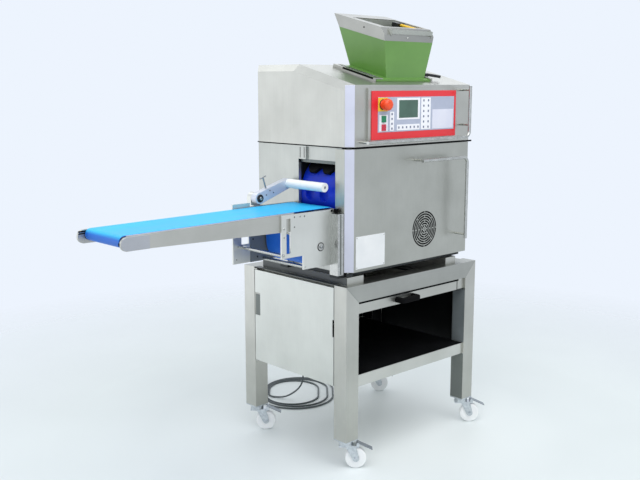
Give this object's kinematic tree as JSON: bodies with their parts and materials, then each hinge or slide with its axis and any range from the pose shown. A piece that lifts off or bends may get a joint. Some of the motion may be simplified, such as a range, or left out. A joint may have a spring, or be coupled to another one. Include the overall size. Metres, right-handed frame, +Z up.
{
  "type": "roll moulder",
  "caption": "Stainless bakery roll moulder on a wheeled stand: green hopper, sloped hood with a control panel, hinged front door, moulding drum and a blue discharge belt.",
  "frame": {"origin": "on the floor under the middle of the stand's footprint", "axes": "+X to the right along the front, +Y to the back, +Z up; the front faces -Y and the belt leaves to -X"},
  "size_m": [1.5888, 1.0211, 1.5932],
  "materials": {
    "stainless": "brushed stainless sheet",
    "stainless_bar": "turned or drawn stainless bar",
    "chassis_steel": "plain machined plate",
    "zinc": "bright zinc plate",
    "hopper_green": "green coat",
    "fascia_red": "red coat",
    "belt_blue": "food belt",
    "drum_blue": "moulded plastic",
    "black_plastic": "moulded plastic",
    "white_plastic": "turned plastic",
    "wheel_white": "moulded plastic",
    "estop_red": "moulded plastic",
    "start_green": "moulded plastic",
    "stop_red": "moulded plastic",
    "cable_grey": "cable sheath",
    "motor_grey": "painted casting",
    "roller_grey": "turned steel"
  },
  "bodies": {
    "frame": {"stand_legs": "stainless", "stand_rails": "stainless", "bearer_bars": "chassis_steel", "stand_shelf": "stainless", "stand_panels": "stainless", "door_pivots": "stainless_bar", "drawer_runners": "stainless", "caster_plates": "zinc", "chassis": "chassis_steel", "lower_shell": "stainless", "hood": "stainless", "hood_rail": "stainless_bar", "control_box": "stainless", "control_fascia": "fascia_red", "hopper_guides": "stainless_bar", "gear_motor": "motor_grey", "front_side_plate": "stainless", "rear_side_plate": "stainless", "conveyor_supports": "stainless_bar", "conveyor_rails": "stainless", "conveyor_belt": "belt_blue", "cable_gland": "cable_grey", "cable_drop": "cable_grey", "cable_coil": "cable_grey", "cable_plug": "black_plastic"},
    "side_door": {"side_door": "stainless"},
    "drawer": {"drawer_tray": "stainless", "drawer_pull": "black_plastic"},
    "front_door": {"front_door": "stainless", "door_handle": "stainless_bar", "fan_frame": "black_plastic"},
    "fan_rotor": {"fan_rotor": "black_plastic"},
    "estop_button": {"estop_button": "estop_red"},
    "start_button": {"start_button": "start_green"},
    "stop_button": {"stop_button": "stop_red"},
    "hopper": {"hopper": "hopper_green", "hopper_rim": "stainless", "level_probe": "black_plastic"},
    "hopper_latch": {"hopper_latch": "black_plastic"},
    "moulding_drum": {"moulding_drum": "drum_blue"},
    "moulding_shoe": {"moulding_shoe": "black_plastic"},
    "feed_roller_left": {"feed_roller_left": "white_plastic"},
    "feed_roller_right": {"feed_roller_right": "white_plastic"},
    "nose_roller": {"nose_roller": "roller_grey"},
    "drive_roller": {"drive_roller": "roller_grey"},
    "press_arm": {"press_arm": "stainless"},
    "press_roller": {"press_roller": "white_plastic"},
    "clamp_screw": {"clamp_screw": "stainless_bar"},
    "caster_fork_fl": {"caster_fork_fl": "zinc"},
    "caster_wheel_fl": {"caster_wheel_fl": "wheel_white"},
    "caster_pedal_fl": {"caster_pedal_fl": "zinc"},
    "caster_fork_fr": {"caster_fork_fr": "zinc"},
    "caster_wheel_fr": {"caster_wheel_fr": "wheel_white"},
    "caster_pedal_fr": {"caster_pedal_fr": "zinc"},
    "caster_fork_rl": {"caster_fork_rl": "zinc"},
    "caster_wheel_rl": {"caster_wheel_rl": "wheel_white"},
    "caster_pedal_rl": {"caster_pedal_rl": "zinc"},
    "caster_fork_rr": {"caster_fork_rr": "zinc"},
    "caster_wheel_rr": {"caster_wheel_rr": "wheel_white"},
    "caster_pedal_rr": {"caster_pedal_rr": "zinc"}
  },
  "joints": [
    {"name": "swivel_fl", "type": "hinge", "parent": "frame", "child": "caster_fork_fl", "pos_m": [-0.325, -0.2475, 0.103], "axis": [0, 0, 1], "continuous": true},
    {"name": "wheel_fl", "type": "hinge", "parent": "caster_fork_fl", "child": "caster_wheel_fl", "pos_m": [-0.2994, -0.27137, 0.0375], "axis": [0.682, 0.7314, 0], "continuous": true},
    {"name": "brake_fl", "type": "hinge", "parent": "caster_fork_fl", "child": "caster_pedal_fl", "pos_m": [-0.29428, -0.27614, 0.09], "axis": [0.682, 0.7314, 0], "range_deg": [0, 12]},
    {"name": "swivel_fr", "type": "hinge", "parent": "frame", "child": "caster_fork_fr", "pos_m": [0.325, -0.2475, 0.103], "axis": [0, 0, 1], "continuous": true},
    {"name": "wheel_fr", "type": "hinge", "parent": "caster_fork_fr", "child": "caster_wheel_fr", "pos_m": [0.3506, -0.27137, 0.0375], "axis": [0.682, 0.7314, 0], "continuous": true},
    {"name": "brake_fr", "type": "hinge", "parent": "caster_fork_fr", "child": "caster_pedal_fr", "pos_m": [0.35572, -0.27614, 0.09], "axis": [0.682, 0.7314, 0], "range_deg": [0, 12]},
    {"name": "swivel_rl", "type": "hinge", "parent": "frame", "child": "caster_fork_rl", "pos_m": [-0.325, 0.2475, 0.103], "axis": [0, 0, 1], "continuous": true},
    {"name": "wheel_rl", "type": "hinge", "parent": "caster_fork_rl", "child": "caster_wheel_rl", "pos_m": [-0.2994, 0.22363, 0.0375], "axis": [0.682, 0.7314, 0], "continuous": true},
    {"name": "brake_rl", "type": "hinge", "parent": "caster_fork_rl", "child": "caster_pedal_rl", "pos_m": [-0.29428, 0.21886, 0.09], "axis": [0.682, 0.7314, 0], "range_deg": [0, 12]},
    {"name": "swivel_rr", "type": "hinge", "parent": "frame", "child": "caster_fork_rr", "pos_m": [0.325, 0.2475, 0.103], "axis": [0, 0, 1], "continuous": true},
    {"name": "wheel_rr", "type": "hinge", "parent": "caster_fork_rr", "child": "caster_wheel_rr", "pos_m": [0.3506, 0.22363, 0.0375], "axis": [0.682, 0.7314, 0], "continuous": true},
    {"name": "brake_rr", "type": "hinge", "parent": "caster_fork_rr", "child": "caster_pedal_rr", "pos_m": [0.35572, 0.21886, 0.09], "axis": [0.682, 0.7314, 0], "range_deg": [0, 12]},
    {"name": "side_door_swing", "type": "hinge", "parent": "frame", "child": "side_door", "pos_m": [-0.35, 0.2095, 0.4735], "axis": [0, 0, -1], "range_deg": [0, 110]},
    {"name": "drawer_slide", "type": "slide", "parent": "frame", "child": "drawer", "axis": [0, -1, 0], "range_m": [0, 0.35]},
    {"name": "front_door_swing", "type": "hinge", "parent": "frame", "child": "front_door", "pos_m": [-0.317, -0.244, 0.9135], "axis": [0, 0, -1], "range_deg": [0, 100]},
    {"name": "fan_spin", "type": "hinge", "parent": "front_door", "child": "fan_rotor", "pos_m": [0.061, -0.24, 0.815], "axis": [0, 1, 0], "continuous": true},
    {"name": "estop_push", "type": "slide", "parent": "frame", "child": "estop_button", "axis": [0, 1, 0], "range_m": [0, 0.005]},
    {"name": "start_push", "type": "slide", "parent": "frame", "child": "start_button", "axis": [0, 1, 0], "range_m": [0, 0.003], "stiffness_N_per_m": 500},
    {"name": "stop_push", "type": "slide", "parent": "frame", "child": "stop_button", "axis": [0, 1, 0], "range_m": [0, 0.003], "stiffness_N_per_m": 500},
    {"name": "hopper_slide", "type": "slide", "parent": "frame", "child": "hopper", "axis": [0, -0.9685, -0.2491], "range_m": [0, 0.15]},
    {"name": "latch_turn", "type": "hinge", "parent": "frame", "child": "hopper_latch", "pos_m": [0.143, -0.18201, 1.37539], "axis": [0, -0.2491, 0.9685], "range_deg": [-50, 60]},
    {"name": "drum_turn", "type": "hinge", "parent": "frame", "child": "moulding_drum", "pos_m": [-0.168, -0.0975, 0.953], "axis": [0, 1, 0], "continuous": true},
    {"name": "shoe_slide", "type": "slide", "parent": "frame", "child": "moulding_shoe", "axis": [0, 1, 0], "range_m": [-0.006, 0.006]},
    {"name": "feed_left_turn", "type": "hinge", "parent": "frame", "child": "feed_roller_left", "pos_m": [-0.038, -0.0975, 1.27], "axis": [0, 1, 0], "continuous": true},
    {"name": "feed_right_turn", "type": "hinge", "parent": "frame", "child": "feed_roller_right", "pos_m": [0.058, -0.0975, 1.27], "axis": [0, 1, 0], "continuous": true},
    {"name": "drive_turn", "type": "hinge", "parent": "frame", "child": "drive_roller", "pos_m": [-0.403, -0.091, 0.798], "axis": [0, 1, 0], "continuous": true},
    {"name": "nose_turn", "type": "hinge", "parent": "frame", "child": "nose_roller", "pos_m": [-1.146, -0.091, 0.902], "axis": [0, 1, 0], "continuous": true},
    {"name": "press_arm_swing", "type": "hinge", "parent": "frame", "child": "press_arm", "pos_m": [-0.49, 0.036, 0.95], "axis": [0, -1, 0], "range_deg": [-18, 60]},
    {"name": "press_roller_spin", "type": "hinge", "parent": "press_arm", "child": "press_roller", "pos_m": [-0.3589, -0.081, 0.9931], "axis": [0, 1, 0], "continuous": true},
    {"name": "clamp_turn", "type": "hinge", "parent": "press_arm", "child": "clamp_screw", "pos_m": [-0.4482, 0.025, 0.96374], "axis": [-0.3123, 0, 0.95], "continuous": true}
  ],
  "couplings": [
    {"joint": "feed_left_turn", "follows": "feed_right_turn", "ratio": -1},
    {"joint": "nose_turn", "follows": "drive_turn", "ratio": 4.0625}
  ]
}
